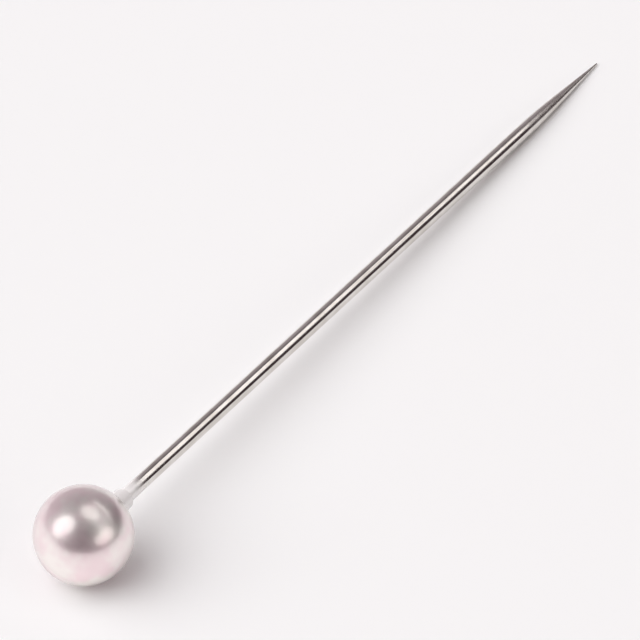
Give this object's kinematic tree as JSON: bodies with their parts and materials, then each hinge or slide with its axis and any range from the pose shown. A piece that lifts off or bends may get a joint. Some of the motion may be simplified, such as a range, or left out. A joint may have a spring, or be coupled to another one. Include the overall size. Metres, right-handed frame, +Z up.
{
  "type": "straight pin",
  "caption": "Dressmaking straight pin: a slender steel wire, ground to a sharp point, with a round pearl-finish plastic head moulded over its other end.",
  "frame": {"origin": "on the table, under the middle of the pin as it lies", "axes": "+X runs from the head to the point, +Z is up; the wire slopes down to the point by 3.09 degrees"},
  "size_m": [0.038, 0.004, 0.004],
  "materials": {
    "nickel_plated_steel": "bright nickel plate on drawn steel wire, with fine scratches round the ground point",
    "pearl_plastic": "moulded plastic dipped in cream-white pearl lacquer, glossy, with a soft pearl sheen"
  },
  "bodies": {
    "root": {"steel_shaft": "nickel_plated_steel", "pearl_head": "pearl_plastic"}
  },
  "joints": []
}
